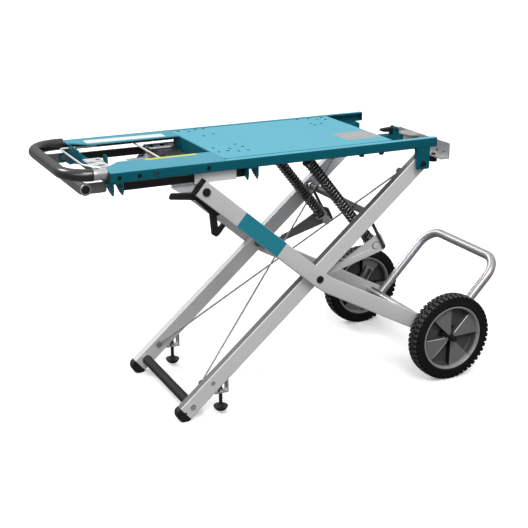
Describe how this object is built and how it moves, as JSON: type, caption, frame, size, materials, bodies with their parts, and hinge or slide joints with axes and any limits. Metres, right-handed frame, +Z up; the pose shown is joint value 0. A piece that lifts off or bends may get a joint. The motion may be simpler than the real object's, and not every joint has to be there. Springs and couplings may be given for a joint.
{
  "type": "table saw stand",
  "caption": "Folding wheeled stand for a bench table saw: scissor legs, perforated steel deck, pull handle, compression springs, rear hoop and sliding end support.",
  "frame": {"origin": "centre of the bounding box in X and Y, on the ground", "axes": "+X along the deck away from the pull handle, +Y across towards the far wheel, +Z up"},
  "size_m": [1.1004, 0.4654, 0.596],
  "materials": {
    "leg": "silver-grey powder coat, satin",
    "black_plastic": "moulded black plastic",
    "foam": "closed-cell foam sleeve",
    "zinc": "zinc-plated or silver-coated steel",
    "dark_tube": "dark grey painted steel",
    "black_steel": "black oxide or black painted steel",
    "tyre": "solid rubber tyre",
    "rim": "moulded grey plastic",
    "carriage": "light silver steel, satin",
    "teal_top": "teal powder coat",
    "teal_rail": "teal powder coat",
    "cap": "dark rubber",
    "lever": "dark grey painted steel",
    "spring_steel": "black coated spring steel"
  },
  "bodies": {
    "foot_frame": {"inner_leg_near": "leg", "inner_leg_far": "leg", "foot_caps": "black_plastic", "foot_bar": "zinc", "foot_bar_grip": "foam", "leg_cross_tube": "dark_tube", "pivot_tube": "dark_tube", "pivot_bolt": "black_steel", "brace_rods": "dark_tube", "spring_arms": "zinc", "spring_ties": "dark_tube", "leveller_brackets": "zinc", "frame_bolts": "zinc"},
    "wheel_frame": {"outer_leg_near": "leg", "outer_leg_far": "leg", "leg_end_plugs": "black_plastic", "axle": "zinc", "axle_tube": "zinc", "wheel_frame_fasteners": "black_steel", "rear_hoop": "zinc", "latch_loop": "zinc"},
    "wheel_near": {"tyre_near": "tyre", "rim_near": "rim"},
    "wheel_far": {"tyre_far": "tyre", "rim_far": "rim"},
    "carriage": {"carriages": "carriage", "carriage_plate": "dark_tube", "slide_pins": "black_steel"},
    "hook": {"hook_lever": "black_plastic"},
    "deck": {"side_rail_near": "teal_rail", "side_rail_far": "teal_rail", "deck_plate": "teal_top", "deck_flanges": "teal_top", "cross_channel_left": "teal_rail", "cross_channel_middle": "teal_rail", "slide_rails": "black_steel", "hinge_brackets": "teal_rail", "hinge_pins": "black_steel", "latch_bracket": "zinc", "spring_mounts": "black_steel", "handle_tube": "zinc", "handle_grip": "foam", "lever_brackets": "teal_rail", "rail_caps": "cap", "bumpers": "cap", "support_sleeve": "teal_rail"},
    "release_lever": {"release_lever": "lever"},
    "lock_bar": {"lock_rods": "zinc"},
    "end_support": {"support_bar": "carriage", "support_plate": "carriage", "support_foot": "black_plastic"},
    "clamp_lever": {"clamp_lever": "black_plastic"},
    "strut_near": {"spring_rod_near": "spring_steel", "coil_spring_near": "spring_steel"},
    "strut_far": {"spring_rod_far": "spring_steel", "coil_spring_far": "spring_steel"},
    "trunnion_near": {"trunnion_near": "zinc"},
    "trunnion_far": {"trunnion_far": "zinc"},
    "leveller_near": {"leveller_near": "black_steel"},
    "leveller_far": {"leveller_far": "black_steel"}
  },
  "joints": [
    {"name": "scissor_fold", "type": "hinge", "parent": "foot_frame", "child": "wheel_frame", "pos_m": [0.01875, 0, 0.294], "axis": [0, -1, 0], "range_deg": [0, 56]},
    {"name": "deck_hinge", "type": "hinge", "parent": "foot_frame", "child": "deck", "pos_m": [0.29075, 0, 0.5275], "axis": [0, -1, 0], "range_deg": [0, 28.1]},
    {"name": "carriage_pivot", "type": "hinge", "parent": "wheel_frame", "child": "carriage", "pos_m": [-0.25325, 0, 0.5275], "axis": [0, -1, 0], "range_deg": [-28.1, 0]},
    {"name": "wheel_spin_near", "type": "hinge", "parent": "wheel_frame", "child": "wheel_near", "pos_m": [0.35945, -0.2067, 0.106], "axis": [0, 1, 0], "continuous": true},
    {"name": "wheel_spin_far", "type": "hinge", "parent": "wheel_frame", "child": "wheel_far", "pos_m": [0.35945, 0.2067, 0.106], "axis": [0, 1, 0], "continuous": true},
    {"name": "hook_hinge", "type": "hinge", "parent": "wheel_frame", "child": "hook", "pos_m": [-0.25325, -0.154, 0.5275], "axis": [0, 1, 0], "range_deg": [0, 9], "stiffness_Nm_per_rad": 0.6},
    {"name": "release_lever_hinge", "type": "hinge", "parent": "deck", "child": "release_lever", "pos_m": [-0.46325, 0, 0.556], "axis": [0, 1, 0], "range_deg": [0, 6], "stiffness_Nm_per_rad": 8, "springref_deg": -17.19},
    {"name": "lock_bar_slide", "type": "slide", "parent": "deck", "child": "lock_bar", "axis": [-1, 0, 0], "range_m": [0, 0.0045]},
    {"name": "end_support_slide", "type": "slide", "parent": "deck", "child": "end_support", "axis": [-1, 0, 0], "range_m": [-0.1, 0]},
    {"name": "clamp_lever_hinge", "type": "hinge", "parent": "deck", "child": "clamp_lever", "pos_m": [0.30275, -0.02, 0.5795], "axis": [0, 1, 0], "range_deg": [0, 80]},
    {"name": "spring_swing_near", "type": "hinge", "parent": "deck", "child": "strut_near", "pos_m": [0.01245, -0.115, 0.562], "axis": [0, -1, 0], "range_deg": [-6.8, 0], "deforming": ["coil_spring_near"]},
    {"name": "spring_swing_far", "type": "hinge", "parent": "deck", "child": "strut_far", "pos_m": [0.01245, 0.115, 0.562], "axis": [0, -1, 0], "range_deg": [-6.8, 0], "deforming": ["coil_spring_far"]},
    {"name": "trunnion_swivel_near", "type": "hinge", "parent": "foot_frame", "child": "trunnion_near", "pos_m": [0.19275, -0.115, 0.336], "axis": [0, -1, 0], "range_deg": [0, 21.9]},
    {"name": "trunnion_swivel_far", "type": "hinge", "parent": "foot_frame", "child": "trunnion_far", "pos_m": [0.19275, 0.115, 0.336], "axis": [0, -1, 0], "range_deg": [0, 21.9]},
    {"name": "leveller_screw_near", "type": "slide", "parent": "foot_frame", "child": "leveller_near", "axis": [0, 0, -1], "range_m": [-0.006, 0.012]},
    {"name": "leveller_screw_far", "type": "slide", "parent": "foot_frame", "child": "leveller_far", "axis": [0, 0, -1], "range_m": [-0.006, 0.012]}
  ],
  "couplings": [
    {"joint": "deck_hinge", "follows": "scissor_fold", "ratio": 0.5},
    {"joint": "carriage_pivot", "follows": "scissor_fold", "ratio": -0.5},
    {"joint": "spring_swing_near", "follows": "scissor_fold", "ratio": -0.1138},
    {"joint": "spring_swing_far", "follows": "scissor_fold", "ratio": -0.1138},
    {"joint": "trunnion_swivel_near", "follows": "scissor_fold", "ratio": 0.3862},
    {"joint": "trunnion_swivel_far", "follows": "scissor_fold", "ratio": 0.3862},
    {"joint": "lock_bar_slide", "follows": "release_lever_hinge", "m_per_rad": 0.04}
  ]
}
